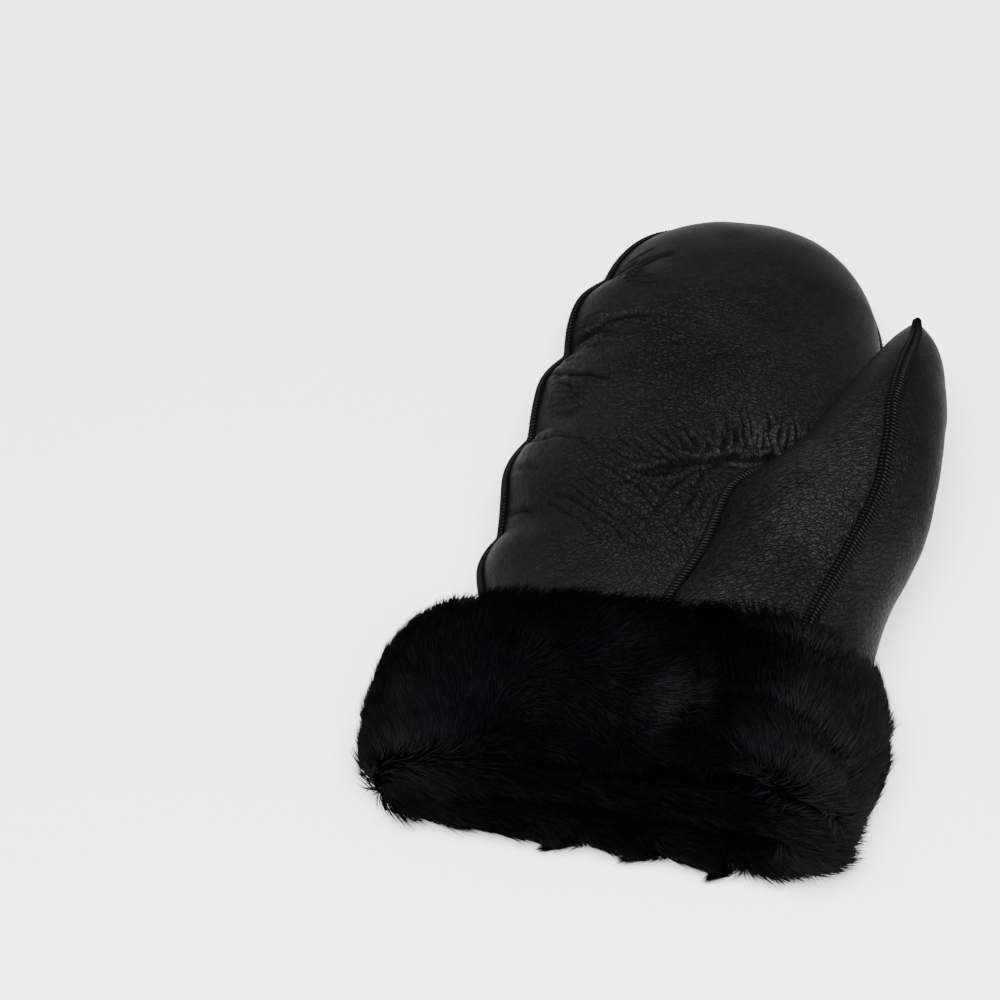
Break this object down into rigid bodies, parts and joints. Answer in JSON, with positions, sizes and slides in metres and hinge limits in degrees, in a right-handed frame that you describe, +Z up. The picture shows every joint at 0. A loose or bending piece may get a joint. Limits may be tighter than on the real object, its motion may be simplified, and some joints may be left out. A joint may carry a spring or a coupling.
{
  "type": "leather mitten",
  "caption": "Right-hand winter mitten of black shearling leather with raised overcast seams, an open hollow for hand and thumb, and a deep turned-back fur cuff",
  "frame": {"origin": "on the surface that the mitten lies on, under the middle of its outline", "axes": "+Y from the cuff's mouth to the fingertips, +X from the little finger to the thumb, +Z up out of the palm"},
  "size_m": [0.1934, 0.2924, 0.0787],
  "materials": {
    "leather": "grained black nappa with a soft sheen",
    "seam_leather": "matt black leather welt under overcast thread",
    "fur": "deep black wool pile with a silky sheen"
  },
  "bodies": {
    "root": {"palm_panel": "leather", "back_panel_little_finger": "leather", "back_panel_index": "leather", "thumb_palm_panel": "leather", "thumb_outer_panel": "leather", "wrist_band": "leather", "rim_seam": "seam_leather", "back_seam": "seam_leather", "palm_thumb_seam": "seam_leather", "back_thumb_seam": "seam_leather", "thumb_seam": "seam_leather", "wrist_seam": "seam_leather", "fur_cuff": "fur"}
  },
  "joints": []
}
